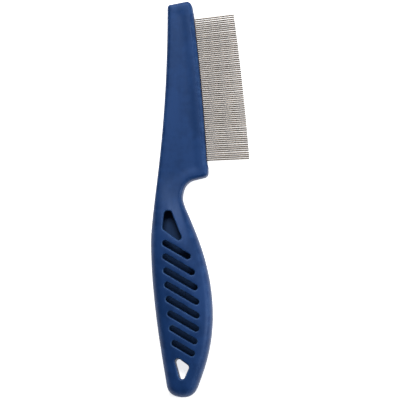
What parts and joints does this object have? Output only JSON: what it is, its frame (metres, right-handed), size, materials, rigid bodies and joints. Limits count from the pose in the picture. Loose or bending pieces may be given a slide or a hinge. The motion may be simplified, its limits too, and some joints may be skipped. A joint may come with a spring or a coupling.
{
  "type": "flea comb",
  "caption": "Flea comb with a row of fine steel pins along a slim plastic head, a slotted grip and a hanging hole.",
  "frame": {"origin": "centre of the comb's bounding box in plan, on the flat back that the comb lies on", "axes": "+Y from the handle end to the head tip, +X from the handle's back edge to the pin tips, +Z out of the front face"},
  "size_m": [0.0446, 0.18, 0.0106],
  "materials": {
    "handle_plastic": "moulded blue plastic with a soft satin sheen",
    "carrier_plastic": "the same blue plastic, a little darker and duller",
    "steel": "drawn stainless steel wire, fine streaks along the wire"
  },
  "bodies": {
    "root": {"front_shell": "handle_plastic", "rear_shell": "handle_plastic", "pin_carrier": "carrier_plastic", "pin_keeper": "carrier_plastic", "pin_pair_01": "steel", "pin_pair_02": "steel", "pin_pair_03": "steel", "pin_pair_04": "steel", "pin_pair_05": "steel", "pin_pair_06": "steel", "pin_pair_07": "steel", "pin_pair_08": "steel", "pin_pair_09": "steel", "pin_pair_10": "steel", "pin_pair_11": "steel", "pin_pair_12": "steel", "pin_pair_13": "steel", "pin_pair_14": "steel", "pin_pair_15": "steel", "pin_pair_16": "steel", "pin_pair_17": "steel", "pin_pair_18": "steel", "pin_pair_19": "steel", "pin_pair_20": "steel", "pin_pair_21": "steel", "pin_pair_22": "steel", "pin_pair_23": "steel", "pin_pair_24": "steel", "pin_pair_25": "steel", "pin_pair_26": "steel", "pin_pair_27": "steel", "pin_pair_28": "steel", "pin_pair_29": "steel", "pin_pair_30": "steel", "pin_pair_31": "steel", "pin_pair_32": "steel", "pin_pair_33": "steel", "pin_pair_34": "steel", "pin_pair_35": "steel", "pin_pair_36": "steel"}
  },
  "joints": []
}
